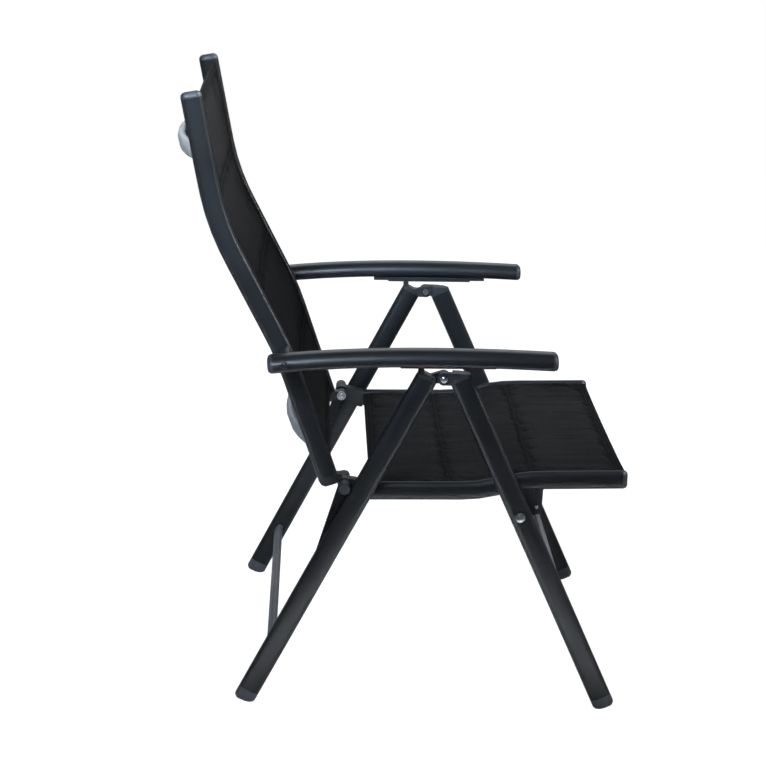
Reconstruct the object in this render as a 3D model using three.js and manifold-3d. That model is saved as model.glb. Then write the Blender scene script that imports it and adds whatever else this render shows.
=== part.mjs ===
import * as THREE from 'three';
import { mergeVertices } from 'three/addons/utils/BufferGeometryUtils.js';
import Module from 'manifold-3d';

// Folding garden armchair with a notched recline, in millimetres.
// X points forward from the leg hinge, Y to the sitter's left, Z up from the floor.

// Gaps and how finely round parts are faceted
const seat_gap = 0.3;
const cut_over = 20;
const oval_facets = 4;
const path_step = 32;
const turned_sides = 12;
const hole_sides = 16;
const plate_facets = 6;
const boss_facets = 12;
const eye_facets = 10;
const corner_facets = 8;
const arm_steps = 12;

// Leg frames
const hinge_height = 613;
const leg_angle = 25.7;
const leg_offset = 25;
const leg_depth = 38;
const leg_thick = 19;
const leg_plane = 262;
const leg_wall = 1.6;
const seat_inset = 25;
const back_inset = 50.5;
const arm_outset = 16;
const rack_outset = 4;
const leg_start = 15;
const foot_rim = 16;
const foot_round = 9;
const stretcher_depth = 25;
const stretcher_thick = 12;
const front_stretcher_reach = 527;
const rear_stretcher_reach = 583;

// Frame tubes of seat and back, their rear and lower ends counted from the back hinge
const frame_wall = 1.5;
const spigot_length = 28;
const seat_depth = 34;
const seat_thick = 18;
const seat_plane = leg_plane - seat_inset;
const seat_rear_ahead = 42.8;
const seat_rear_drop = 13.9;
const seat_rear_length = 160;
const seat_knee_length = 67;
const seat_front_length = 142;
const seat_rear_angle = 1.6;
const seat_bend_angle = 18;
const seat_front_angle = 2.2;
const back_depth = 35;
const back_thick = 18;
const back_plane = leg_plane - back_inset;
const back_foot_behind = 28.7;
const back_foot_rise = 1.6;
const back_lower_length = 195;
const back_waist_length = 70;
const back_middle_length = 155;
const back_shoulder_length = 120;
const back_upper_length = 147;
const back_lower_angle = 19.8;
const back_middle_angle = 28;
const back_upper_angle = 11.5;
const cap_rim = 2;
const cap_round = 8;

// Crossbars, bowed away from the cloth
const bar_depth = 30;
const bar_thick = 15;
const back_bar_bow = 44;
const back_bar_drop = 3.5;
const back_bar_lower_reach = 64;
const back_bar_upper_reach = 596;
const seat_bar_bow = 30;
const seat_bar_drop = 4.5;
const seat_bar_rear_reach = 48;
const seat_bar_front_reach = 376;

// Armrests, their heights counted from the leg hinge
const arm_plane = leg_plane + arm_outset;
const arm_width = 46;
const arm_height = 27;
const arm_corner = 8;
const arm_wall = 1.8;
const arm_rear_x = -283;
const arm_rear_rise = 22;
const arm_bend_x = -94.4;
const arm_bend_rise = 47.5;
const arm_front_x = 176;
const arm_front_rise = 40.5;
const arm_cap_rim = 2;
const arm_cap_round = 7;
const arm_spigot_length = 14;

// Notched rack under each armrest and the catch that it rides on
const rack_plane = leg_plane + rack_outset;
const rack_width = 14;
const rack_wall = 1.6;
const rack_rear_x = -101.5;
const rack_front_x = 113.5;
const rack_rear_depth = 8;
const rack_front_depth = 6.8;
const rack_tab_length = 29;
const rack_tab_rise = 2.4;
const tooth_recess = 2.5;
const notch_count = 7;
const notch_pitch = 23;
const notch_depth = 2.6;
const notch_width = 14;
const notch_in_use = 2;
const catch_x = -38.4;
const catch_width = 10;
const catch_thick = 8.4;
const catch_gap = 1.6;
const catch_root = 1;

// Pivots: leg hinge, seat pivot, back hinge, armrest pivot and link pivot
const hinge_boss = 11;
const hinge_pin = 3;
const pivot_reach = 283;
const pivot_across = 23.1;
const pivot_boss = 13;
const pivot_pin = 4;
const roller_radius = 10;
const back_hinge_reach = 251;
const back_boss = 10;
const back_pin = 4;
const back_collar_step = 2;
const back_lug_angle = 60;
const bracket_boss = 11.5;
const bracket_inset = 1.5;
const bracket_taper = 1.5;
const bracket_lower_angle = 15;
const bracket_upper_angle = 20;
const bracket_corner = 3;
const arm_pivot_x = -263.4;
const arm_pivot_rise = 25.5;
const arm_pin = 3;
const arm_spacer_radius = 9;
const link_reach = 413.6;
const link_width = 20;
const link_thick = 4.4;
const link_pin = 3.4;
const pin_play = 0.3;
const head_height = 4;
const head_radius = 7;
const washer_radius = 9;
const washer_height = 1.6;
const head_bevel = 2;
const head_crown = 1;
const small_head_inset = 0.5;
const small_head_bevel = 2;
const nut_wall = 2.5;
const roller_bevel = 1;
const bracket_front_reach = 40;
const bracket_rear_reach = 14;
const rib_count = 3;
const rib_pitch = 7;
const rib_groove = 2.4;
const rib_start_share = 0.6;

// Cloth
const cloth_edge = 4;
const cloth_swell = 9;
const cloth_lift = 9;
const cloth_sag = 3;
const cloth_side_gap = 0.4;
const seat_cloth_start = 1;
const seat_cloth_end = 443;
const back_cloth_start = 8;
const back_cloth_end = 682;
const hem_length = 11;
const seam_share = 0.15;
const seat_seam_shares = [0.31, 0.64];
const back_seam_shares = [0.243, 0.5, 0.755];
const rows_per_field = 6;
const cloth_columns = 18;

// Colours
const frame_paint = { color: 0x272c32, roughness: 0.42, metalness: 0.35 };
const bar_paint = { color: 0x3a3f45, roughness: 0.45, metalness: 0.35 };
const plastic = { color: 0x141517, roughness: 0.5, metalness: 0.0 };
const rack_plastic = { color: 0x33140f, roughness: 0.45, metalness: 0.0 };
const grey_plastic = { color: 0x4c5054, roughness: 0.5, metalness: 0.0 };
const bright_steel = { color: 0xb9bdc2, roughness: 0.28, metalness: 0.9 };
const dark_steel = { color: 0x1b1c1f, roughness: 0.4, metalness: 0.6 };
const cloth = { color: 0x18191b, roughness: 0.9, metalness: 0.0 };

const wasm = await Module();
wasm.setup();

const rad = (degrees) => (degrees * Math.PI) / 180;
const front = 1;
const rear = -1;
const upright = 90;
const half_turn = 180;

// Point of a leg frame in the side view: along the leg from the hinge, and across it outwards
function legPoint(side, along, across) {
  const s = Math.sin(rad(leg_angle));
  const c = Math.cos(rad(leg_angle));
  return new THREE.Vector2(side * (along * s + across * c), hinge_height - along * c + across * s);
}

const hinge = new THREE.Vector2(0, hinge_height);
const seatPivot = legPoint(front, pivot_reach, pivot_across);
const hingeAcross = leg_offset + leg_depth / 2 + roller_radius + seat_gap;
const backHinge = legPoint(rear, back_hinge_reach, hingeAcross);
const linkPivot = legPoint(rear, link_reach, leg_offset);
const armPivot = new THREE.Vector2(arm_pivot_x, hinge_height + arm_pivot_rise);

// Lateral stations on the left side, from the inside out
const backInner = back_plane - back_thick / 2;
const backOuter = back_plane + back_thick / 2;
const seatInner = seat_plane - seat_thick / 2;
const seatOuter = seat_plane + seat_thick / 2;
const legInner = leg_plane - leg_thick / 2;
const legOuter = leg_plane + leg_thick / 2;
const armInner = arm_plane - arm_width / 2;
const armOuter = arm_plane + arm_width / 2;
const linkInner = seatOuter + (legInner - seatOuter - link_thick) / 2;
const linkOuter = linkInner + link_thick;

// Closed body as a manifold, and back
function solid(geometry) {
  const bare = geometry.clone();
  bare.deleteAttribute('normal');
  bare.deleteAttribute('uv');
  const merged = mergeVertices(bare);
  const mesh = new wasm.Mesh({
    numProp: 3,
    vertProperties: new Float32Array(merged.attributes.position.array),
    triVerts: new Uint32Array(merged.index.array),
  });
  return new wasm.Manifold(mesh);
}

function surface(body) {
  const mesh = body.getMesh();
  const geometry = new THREE.BufferGeometry();
  geometry.setAttribute('position', new THREE.BufferAttribute(new Float32Array(mesh.vertProperties), 3));
  geometry.setIndex(new THREE.BufferAttribute(new Uint32Array(mesh.triVerts), 1));
  const flat = geometry.toNonIndexed();
  flat.computeVertexNormals();
  return flat;
}

function cut(geometry, ...tools) {
  return surface(tools.reduce((body, tool) => body.subtract(solid(tool)), solid(geometry)));
}

function join(geometry, ...others) {
  return surface(others.reduce((body, other) => body.add(solid(other)), solid(geometry)));
}

function common(geometry, other) {
  return surface(solid(geometry).intersect(solid(other)));
}

const unindexed = (geometry) => (geometry.index ? geometry.toNonIndexed() : geometry.clone());

function swapWinding(flat) {
  const p = flat.attributes.position;
  const b = new THREE.Vector3();
  const c = new THREE.Vector3();
  for (let i = 0; i < p.count; i += 3) {
    b.fromBufferAttribute(p, i + 1);
    c.fromBufferAttribute(p, i + 2);
    p.setXYZ(i + 1, c.x, c.y, c.z);
    p.setXYZ(i + 2, b.x, b.y, b.z);
  }
}

// The same piece on the other side of the chair
function mirrored(geometry) {
  const flat = unindexed(geometry);
  flat.applyMatrix4(new THREE.Matrix4().makeScale(1, -1, 1));
  swapWinding(flat);
  flat.computeVertexNormals();
  return flat;
}

// Faces turned so that the enclosed volume is positive
function outward(geometry) {
  const flat = unindexed(geometry);
  const p = flat.attributes.position;
  const [a, b, c] = [new THREE.Vector3(), new THREE.Vector3(), new THREE.Vector3()];
  let volume = 0;
  for (let i = 0; i < p.count; i += 3) {
    a.fromBufferAttribute(p, i);
    b.fromBufferAttribute(p, i + 1);
    c.fromBufferAttribute(p, i + 2);
    volume += a.dot(b.cross(c));
  }
  if (volume < 0) swapWinding(flat);
  flat.computeVertexNormals();
  return flat;
}

// Rings of points joined into one closed body
function loft(rings) {
  const count = rings[0].length;
  const faces = [];
  for (let r = 0; r + 1 < rings.length; r++) {
    for (let i = 0; i < count; i++) {
      const a = r * count + i;
      const b = r * count + ((i + 1) % count);
      faces.push(a, b, b + count, a, b + count, a + count);
    }
  }
  const last = (rings.length - 1) * count;
  for (let i = 1; i + 1 < count; i++) {
    faces.push(0, i + 1, i, last, last + i, last + i + 1);
  }
  const geometry = new THREE.BufferGeometry().setFromPoints(rings.flat());
  geometry.setIndex(faces);
  return outward(geometry);
}

// Flat-oval section, its depth standing along y or lying along x
function ovalPoints(thick, depth, lying = false) {
  const r = thick / 2;
  const k = (depth - thick) / 2;
  const points = [];
  for (const end of [1, -1]) {
    for (let i = 0; i <= oval_facets; i++) {
      const a = (Math.PI * i) / oval_facets;
      const x = end * r * Math.cos(a);
      const y = end * (k + r * Math.sin(a));
      points.push(lying ? new THREE.Vector2(-y, x) : new THREE.Vector2(x, y));
    }
  }
  return points;
}

// Armrest section: crowned on top, flat below, with round corners
function armPoints(width, height, corner) {
  const [w, h] = [width / 2, height / 2];
  const [corner_steps, crown_facets, crown_power] = [2, 8, 0.8];
  const points = [];
  for (const [side, from] of [[-1, Math.PI], [1, 1.5 * Math.PI]]) {
    for (let i = 0; i < corner_steps; i++) {
      const a = from + ((Math.PI / 2) * i) / corner_steps;
      const [x, y] = [side * (w - corner) + corner * Math.cos(a), corner - h + corner * Math.sin(a)];
      points.push(new THREE.Vector2(x, y));
    }
    points.push(side < 0 ? new THREE.Vector2(-w + corner, -h) : new THREE.Vector2(w, -h + corner));
  }
  for (let i = 1; i < crown_facets; i++) {
    const a = (Math.PI * i) / crown_facets;
    const x = Math.sign(Math.cos(a)) * Math.abs(Math.cos(a)) ** crown_power;
    points.push(new THREE.Vector2(w * x, -h + corner + (height - corner) * Math.sin(a) ** crown_power));
  }
  return points;
}

function section(outer, inner) {
  const shape = new THREE.Shape(outer);
  if (inner) shape.holes.push(new THREE.Path(inner));
  return shape;
}
const ovalTube = (thick, depth, wall, lying) =>
  section(ovalPoints(thick, depth, lying), ovalPoints(thick - 2 * wall, depth - 2 * wall, lying));

function sweep(shape, curve, steps) {
  return new THREE.ExtrudeGeometry(shape, { steps, extrudePath: curve });
}
const stepsFor = (curve) => Math.ceil(curve.getLength() / path_step);

// Flat plate with an outline in the side view, between two lateral stations
function plate(shape, inner, outer) {
  const geometry = new THREE.ExtrudeGeometry(shape, {
    depth: outer - inner,
    bevelEnabled: false,
    curveSegments: plate_facets,
  });
  geometry.rotateX(Math.PI / 2);
  geometry.translate(0, outer, 0);
  return outward(geometry);
}

function disc(centre, radius, inner, outer, sides = hole_sides) {
  const geometry = new THREE.CylinderGeometry(radius, radius, outer - inner, sides);
  geometry.translate(centre.x, (inner + outer) / 2, centre.y);
  return geometry;
}

// Turned piece about a lateral axis; stations are [radius, y] pairs
function turned(centre, stations, sides = turned_sides) {
  const geometry = new THREE.LatheGeometry(stations.map(([r, y]) => new THREE.Vector2(r, y)), sides);
  geometry.translate(centre.x, 0, centre.y);
  return outward(geometry);
}

const outline = (points) => new THREE.Shape(points.map(([x, z]) => new THREE.Vector2(x, z)));

// Arc of a circle in the side view as outline points
function arc(centre, radius, from, to, steps) {
  const points = [];
  for (let i = 0; i <= steps; i++) {
    const a = rad(from + ((to - from) * i) / steps);
    points.push([centre.x + radius * Math.cos(a), centre.y + radius * Math.sin(a)]);
  }
  return points;
}

// Centre line in the side view from stretches of length and changing slope
function slopePath(x, z, stretches) {
  const points = [new THREE.Vector2(x, z)];
  for (const { length, from, to } of stretches) {
    const count = Math.max(1, Math.round(length / path_step));
    for (let i = 0; i < count; i++) {
      const slope = rad(from + ((to - from) * (i + 0.5)) / count);
      const last = points[points.length - 1];
      const d = length / count;
      points.push(new THREE.Vector2(last.x + d * Math.cos(slope), last.y + d * Math.sin(slope)));
    }
  }
  return points;
}

function sideCurve(points, y) {
  const placed = points.map((p) => new THREE.Vector3(p.x, y, p.y));
  return new THREE.CatmullRomCurve3(placed, false, 'centripetal');
}

const seatPoints = slopePath(backHinge.x + seat_rear_ahead, backHinge.y - seat_rear_drop, [
  { length: seat_rear_length, from: seat_rear_angle, to: seat_rear_angle },
  { length: seat_knee_length, from: seat_rear_angle, to: seat_bend_angle },
  { length: seat_knee_length, from: seat_bend_angle, to: seat_front_angle },
  { length: seat_front_length, from: seat_front_angle, to: seat_front_angle },
]);
const backPoints = slopePath(backHinge.x - back_foot_behind, backHinge.y + back_foot_rise, [
  { length: back_lower_length, from: upright + back_lower_angle, to: upright + back_lower_angle },
  { length: back_waist_length, from: upright + back_lower_angle, to: upright + back_middle_angle },
  { length: back_middle_length, from: upright + back_middle_angle, to: upright + back_middle_angle },
  { length: back_shoulder_length, from: upright + back_middle_angle, to: upright + back_upper_angle },
  { length: back_upper_length, from: upright + back_upper_angle, to: upright + back_upper_angle },
]);
const seatCurve = sideCurve(seatPoints, 0);
const backCurve = sideCurve(backPoints, 0);
const armCurve = (y) => new THREE.QuadraticBezierCurve3(
  new THREE.Vector3(arm_rear_x, y, hinge_height + arm_rear_rise),
  new THREE.Vector3(arm_bend_x, y, hinge_height + arm_bend_rise),
  new THREE.Vector3(arm_front_x, y, hinge_height + arm_front_rise),
);

// Place and directions on a side-view curve at a distance along it, also past its ends
function station(curve, reach) {
  const length = curve.getLength();
  const within = THREE.MathUtils.clamp(reach, 0, length);
  const along = curve.getTangentAt(within / length);
  const at = curve.getPointAt(within / length).addScaledVector(along, reach - within);
  return { at, along, up: new THREE.Vector3(-along.z, 0, along.x) };
}
const turnedRound = ({ at, along, up }) => ({ at, along: along.clone().negate(), up });

function legStation(side, reach) {
  const at = legPoint(side, reach, leg_offset);
  const ahead = legPoint(side, reach + leg_depth, leg_offset).sub(at).normalize();
  return {
    at: new THREE.Vector3(at.x, 0, at.y),
    along: new THREE.Vector3(ahead.x, 0, ahead.y),
    up: new THREE.Vector3(-ahead.y, 0, ahead.x),
  };
}

// Ring of section points at a station, ahead of it by a reach
function ring({ at, along, up }, points, reach, plane) {
  const centre = at.clone().addScaledVector(along, reach);
  return points.map((p) => centre.clone().addScaledVector(up, p.y).setY(plane + p.x));
}

// End cap: spigot inside the tube, rim and rounded crown outside; profile(inset) gives the ring's points
function endCap(place, profile, wall, rim, round, plane, depth = spigot_length) {
  const [crown_steps, loose] = [3, wall + seat_gap];
  const rings = [
    ring(place, profile(loose), -depth, plane),
    ring(place, profile(loose), seat_gap, plane),
    ring(place, profile(0), seat_gap, plane),
    ring(place, profile(0), rim, plane),
  ];
  for (let i = 1; i <= crown_steps; i++) {
    const a = ((Math.PI / 2) * i) / crown_steps;
    rings.push(ring(place, profile(round * (1 - Math.cos(a))), rim + round * Math.sin(a), plane));
  }
  return loft(rings);
}

// Plain spigot that fills a tube from a little outside its end
function spigot(place, thick, depth, wall, plane) {
  const loose = 2 * (wall + seat_gap);
  const points = ovalPoints(thick - loose, depth - loose);
  return loft([ring(place, points, -spigot_length, plane), ring(place, points, 3 * seat_gap, plane)]);
}

// Every mesh of the chair, by name
const chair = new THREE.Group();
function add(name, geometry, look) {
  const mesh = new THREE.Mesh(geometry, new THREE.MeshStandardMaterial({ ...look, flatShading: true }));
  mesh.name = name;
  chair.add(mesh);
}
function addPair(name, geometry, look) {
  add(`${name}_left`, geometry, look);
  add(`${name}_right`, mirrored(geometry), look);
}
const to3 = (p, y) => new THREE.Vector3(p.x, y, p.y);

// Legs: straight flat-oval tubes with a floor cap and a hinge plug each
const footReach = (hinge_height + leg_offset * Math.sin(rad(leg_angle))) / Math.cos(rad(leg_angle));
const legEnd = footReach - foot_rim - foot_round;
const plugBase = leg_start - seat_gap;
const plugNear = leg_offset - leg_depth / 2;
const plugFar = leg_offset + leg_depth / 2;

function legRun(side, from, to, shape) {
  const ends = [from, to].map((reach) => to3(legPoint(side, reach, leg_offset), leg_plane));
  return sweep(shape, new THREE.LineCurve3(...ends), 1);
}
const legTube = (side) => legRun(side, leg_start, legEnd, ovalTube(leg_thick, leg_depth, leg_wall));
const legPrism = (side) => legRun(side, -leg_depth, plugBase, section(ovalPoints(leg_thick, leg_depth)));

function foot(side) {
  const profile = (inset) => ovalPoints(leg_thick - 2 * inset, leg_depth - 2 * inset);
  const cap = endCap(legStation(side, legEnd), profile, leg_wall, foot_rim, foot_round, leg_plane);
  const floor = new THREE.BoxGeometry(leg_depth * 4, leg_thick * 2, leg_depth);
  floor.translate(legPoint(side, footReach, leg_offset).x, leg_plane, -leg_depth / 2);
  return cut(cap, floor);
}

// Hinge plugs: half-thickness ears side by side at the hinge
const neck_x = 14.5;
const plug_crown = 10.4;
const heel_crown = 8.6;
const catch_crown = 9.5;
const saddle_x = 22;
const saddle_z = 4;
const ear_angle = 75;

function ear(side, shoulder, inner, outer) {
  const toe = legPoint(side, plugBase, plugNear);
  const base = legPoint(side, plugBase, plugNear + hinge_pin);
  const round = arc(hinge, hinge_boss, ear_angle, 2 * half_turn - ear_angle, boss_facets);
  const turnedRoundHinge = round.map(([x, z]) => [side * x, z]);
  return plate(outline([
    ...turnedRoundHinge, [toe.x, toe.y], [base.x, base.y], [side * shoulder[0], hinge_height + shoulder[1]],
  ]), inner, outer);
}

const hingeHole = disc(hinge, hinge_pin + pin_play, legInner - cut_over, legOuter + cut_over);
const plugSpigot = (side) =>
  spigot(turnedRound(legStation(side, leg_start)), leg_thick, leg_depth, leg_wall, leg_plane);

function frontHingePlug() {
  const toe = legPoint(front, plugBase, plugNear);
  const heel = legPoint(front, plugBase, plugFar);
  const body = plate(outline([
    [toe.x, toe.y], [heel.x, heel.y], [heel.x - seat_gap, hinge_height + heel_crown],
    [heel.x - saddle_x + seat_gap, hinge_height + plug_crown], [neck_x, hinge_height + plug_crown],
  ]), legInner, legOuter);
  const lug = ear(front, [neck_x + hinge_pin, plug_crown], leg_plane + seat_gap, legOuter);
  return cut(join(common(body, legPrism(front)), lug, plugSpigot(front)), hingeHole);
}

// Underside of the armrest above a place along it
function armUnderside(x) {
  const [a, b, c] = [arm_rear_x, arm_bend_x, arm_front_x];
  const bend = a - 2 * b + c;
  const t = (a - b + Math.sqrt((b - a) ** 2 - bend * (a - x))) / bend;
  const p = armCurve(0).getPoint(t);
  const slope = armCurve(0).getTangent(t);
  return p.z - (arm_height / 2 / slope.x) * (slope.x ** 2 + slope.z ** 2);
}

// Lower edge of the rack's walls, and its tooth tips a little above
function rackLow(x) {
  const low = armUnderside(rack_rear_x) - rack_rear_depth;
  const high = armUnderside(rack_front_x) - rack_front_depth;
  return low + ((high - low) * (x - rack_rear_x)) / (rack_front_x - rack_rear_x);
}
const toothTip = (x) => rackLow(x) + tooth_recess;
const catchTop = toothTip(catch_x) - catch_gap;

function rearHingePlug() {
  const toe = legPoint(rear, plugBase, plugNear);
  const heel = legPoint(rear, plugBase, plugFar);
  const r = catch_width / 2;
  const body = plate(outline([
    [toe.x, toe.y], [heel.x, heel.y], [catch_x - r, hinge_height + catch_crown],
    [catch_x + r, hinge_height + catch_crown], [-saddle_x, hinge_height + saddle_z],
    [-neck_x, hinge_height + hinge_pin],
  ]), legInner, legOuter);
  const noseBase = hinge_height + catch_crown - catch_root;
  const nose = plate(outline([
    [catch_x - r, noseBase], [catch_x + r, noseBase],
    ...arc(new THREE.Vector2(catch_x, catchTop - r), r, 0, half_turn, corner_facets),
  ]), rack_plane - catch_thick / 2, rack_plane + catch_thick / 2);
  const lug = ear(rear, [saddle_x, saddle_z], legInner, leg_plane - seat_gap);
  return cut(join(common(body, legPrism(rear)), lug, plugSpigot(rear), nose), hingeHole);
}

const legHole = disc(seatPivot, pivot_pin + pin_play, legInner - cut_over, legOuter + cut_over);
addPair('front_leg', cut(legTube(front), legHole), frame_paint);
addPair('front_foot', foot(front), plastic);
addPair('front_hinge_plug', frontHingePlug(), plastic);
addPair('rear_leg', legTube(rear), frame_paint);
addPair('rear_foot', foot(rear), plastic);
addPair('rear_hinge_plug', rearHingePlug(), plastic);

// Stretchers between the legs of each frame, lying along the legs
function stretcher(side, reach) {
  const half = legInner - seat_gap;
  const run = new THREE.LineCurve3(new THREE.Vector3(0, -half, 0), new THREE.Vector3(0, half, 0));
  const bar = sweep(ovalTube(stretcher_thick, stretcher_depth, frame_wall), run, 1);
  bar.rotateY(Math.PI / 2 - side * rad(leg_angle));
  const at = legPoint(side, reach, leg_offset);
  bar.translate(at.x, 0, at.y);
  return bar;
}
add('front_stretcher', stretcher(front, front_stretcher_reach), bar_paint);
add('rear_stretcher', stretcher(rear, rear_stretcher_reach), bar_paint);

// Hinge and pivot bolts
const smallHead = head_radius - small_head_inset;
addPair('hinge_bolt', turned(hinge, [
  [0, legInner - head_height + seat_gap], [hinge_pin + nut_wall, legInner - head_height + seat_gap],
  [hinge_pin + nut_wall, legInner - seat_gap], [hinge_pin, legInner - seat_gap],
  [hinge_pin, legOuter + seat_gap], [smallHead, legOuter + seat_gap], [smallHead, legOuter + head_height / 2],
  [smallHead - small_head_bevel, legOuter + head_height], [0, legOuter + head_height],
]), dark_steel);
const collarInner = seatOuter;
const headTop = legOuter + washer_height + head_height;
addPair('seat_pivot_bolt', turned(seatPivot, [
  [0, seatInner + seat_gap], [pivot_pin, seatInner + seat_gap], [pivot_pin, collarInner],
  [head_radius, collarInner], [head_radius, legInner - seat_gap], [pivot_pin, legInner - seat_gap],
  [pivot_pin, legOuter + seat_gap], [washer_radius, legOuter + seat_gap],
  [washer_radius, legOuter + seat_gap + washer_height], [head_radius, legOuter + seat_gap + washer_height],
  [head_radius, headTop], [head_radius - head_bevel, headTop + head_crown], [0, headTop + head_crown],
]), bright_steel);

// Seat side tubes, bent twice, with their front caps
const seatSide = sideCurve(seatPoints, seat_plane);
const seatTube = sweep(ovalTube(seat_thick, seat_depth, frame_wall), seatSide, stepsFor(seatSide));
addPair('seat_tube', seatTube, frame_paint);
const seatProfile = (inset) => ovalPoints(seat_thick - 2 * inset, seat_depth - 2 * inset);
const seatEnd = seatCurve.getLength();
addPair('seat_front_cap',
  endCap(station(seatCurve, seatEnd), seatProfile, frame_wall, cap_rim, cap_round, seat_plane), plastic);

// Rear bracket: plugged into the side tube and swept up to the back hinge
function seatRearBracket() {
  const end = turnedRound(station(seatCurve, 0));
  const edge = (ahead, across) => {
    const p = end.at.clone().addScaledVector(end.along, ahead).addScaledVector(end.up, across);
    return [p.x, p.z];
  };
  const [h, r] = [seat_depth / 2, bracket_boss];
  const body = plate(outline([
    edge(seat_gap, h), edge(seat_gap, -h), edge(r / 2, -h), edge(r, -h + bracket_taper), edge(r * 2, -h / 2),
    ...arc(backHinge, r, bracket_lower_angle - upright, bracket_upper_angle - half_turn - upright,
      corner_facets),
    edge(r * 2, h + r / 2), edge(r, h + bracket_taper),
  ]), seatInner + bracket_inset, seatOuter - bracket_inset);
  const eye = disc(backHinge, r, seatInner + seat_gap / 3, seatOuter - seat_gap);
  const whole = join(body, eye, spigot(end, seat_thick, seat_depth, frame_wall, seat_plane));
  return cut(whole, disc(backHinge, back_pin + pin_play, seatInner - cut_over, seatOuter + cut_over));
}
addPair('seat_rear_bracket', seatRearBracket(), grey_plastic);

// Ribbed pivot bracket hung under the side tube
function seatPivotBracket() {
  const [x, z] = [seatPivot.x, seatPivot.y];
  const top = z + seat_depth * 1.5;
  const body = plate(outline([
    ...arc(seatPivot, pivot_boss, -half_turn, -upright, 5),
    [x + bracket_front_reach - bracket_corner, z - bracket_corner], [x + bracket_front_reach, z],
    [x + bracket_front_reach, top],
    [x - bracket_rear_reach, top],
  ]), seatInner + bracket_inset, seatOuter - bracket_inset);
  const eye = disc(seatPivot, pivot_boss, seatInner + seat_gap, seatOuter - seat_gap);
  const room = 2 * seat_gap;
  const bed = sweep(section(ovalPoints(seat_thick + room, seat_depth + room)), seatSide, stepsFor(seatSide));
  const grooves = [];
  for (let i = 0; i < rib_count; i++) {
    const groove = new THREE.BoxGeometry(rib_groove, bracket_inset, top - z);
    const ahead = pivot_boss + rib_pitch * (i + rib_start_share);
    groove.translate(x + ahead, seatOuter - bracket_inset, (top + z) / 2 + pivot_boss / 2);
    grooves.push(groove);
  }
  const hole = disc(seatPivot, pivot_pin + pin_play, seatInner - cut_over, seatOuter + cut_over);
  return cut(join(body, eye), bed, hole, ...grooves);
}

addPair('seat_pivot_bracket', seatPivotBracket(), plastic);

// Bowed crossbar between two side tubes, trimmed flat at their inner faces
function bowedBar(curve, reach, bow, drop, inner, depthUp) {
  const half = inner - seat_gap;
  const [far, bar_steps, arc_points] = [half + bar_thick, 10, 12];
  const radius = (half ** 2 + bow ** 2) / (2 * bow);
  const points = [];
  for (let i = -arc_points; i <= arc_points; i++) {
    const a = Math.asin(far / radius) * (i / arc_points);
    const out = radius * Math.cos(a) - Math.sqrt(radius ** 2 - half ** 2);
    points.push(new THREE.Vector3(out, radius * Math.sin(a), 0));
  }
  const path = new THREE.CatmullRomCurve3(points);
  const bar = sweep(ovalTube(bar_thick, bar_depth, frame_wall, true), path, bar_steps);
  const keep = new THREE.BoxGeometry(radius * 2, half * 2, bar_depth * 2);
  const place = station(curve, reach);
  const away = place.up.clone().multiplyScalar(depthUp);
  const trimmed = common(bar, keep);
  trimmed.rotateY(Math.atan2(-away.z, away.x));
  const centre = place.at.clone().addScaledVector(away, drop);
  trimmed.translate(centre.x, 0, centre.z);
  return trimmed;
}
add('seat_crossbar_rear',
  bowedBar(seatCurve, seat_bar_rear_reach, seat_bar_bow, seat_bar_drop, seatInner, -1), bar_paint);
add('seat_crossbar_front',
  bowedBar(seatCurve, seat_bar_front_reach, seat_bar_bow, seat_bar_drop, seatInner, -1), bar_paint);

// Padded cloth between two side tubes, quilted in fields across its width
function quilt(curve, from, to, inner, seams, faceUp) {
  const half = inner - cloth_side_gap;
  const cuts = [from, from + hem_length];
  for (const share of seams) cuts.push(from + (to - from) * share);
  cuts.push(to - hem_length, to);
  const rows = [];
  cuts.slice(1).forEach((end, f) => {
    const start = cuts[f];
    const hem = f === 0 || f === cuts.length - 2;
    const count = hem ? 1 : rows_per_field;
    for (let i = 0; i < count; i++) {
      const share = (1 - Math.cos((Math.PI * i) / count)) / 2;
      const puff = hem || i === 0 ? seam_share : Math.sqrt(Math.sin(Math.PI * share));
      rows.push({ reach: start + (end - start) * share, puff });
    }
  });
  rows.push({ reach: to, puff: seam_share });
  const [top, bottom] = [[], []];
  for (const { reach, puff } of rows) {
    const place = station(curve, reach);
    for (let j = 0; j <= cloth_columns; j++) {
      const y = -half * Math.cos((Math.PI * j) / cloth_columns);
      const side = 1 - Math.abs(y / half) ** 4;
      const mid = faceUp * (cloth_lift - cloth_sag * (1 - (y / half) ** 2));
      const reach_up = (cloth_edge + cloth_swell * side * puff) / 2;
      const centre = place.at.clone().addScaledVector(place.up, mid);
      top.push(centre.clone().addScaledVector(place.up, faceUp * reach_up).setY(y));
      bottom.push(centre.clone().addScaledVector(place.up, -faceUp * reach_up).setY(y));
    }
  }
  const wide = cloth_columns + 1;
  const under = top.length;
  const faces = [];
  const quad = (a, b, c, d) => faces.push(a, b, c, a, c, d);
  for (let i = 0; i + 1 < rows.length; i++) {
    for (let j = 0; j < cloth_columns; j++) {
      const a = i * wide + j;
      quad(a, a + 1, a + wide + 1, a + wide);
      quad(under + a, under + a + wide, under + a + wide + 1, under + a + 1);
    }
    const [l, r] = [i * wide, i * wide + cloth_columns];
    quad(l, l + wide, under + l + wide, under + l);
    quad(r + wide, r, under + r, under + r + wide);
  }
  for (let j = 0; j < cloth_columns; j++) {
    const end = (rows.length - 1) * wide + j;
    quad(j + 1, j, under + j, under + j + 1);
    quad(end, end + 1, under + end + 1, under + end);
  }
  const geometry = new THREE.BufferGeometry().setFromPoints([...top, ...bottom]);
  geometry.setIndex(faces);
  return outward(geometry);
}
add('seat_sling',
  quilt(seatCurve, seat_cloth_start, seat_cloth_end, seatInner, seat_seam_shares, 1), cloth);

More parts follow.
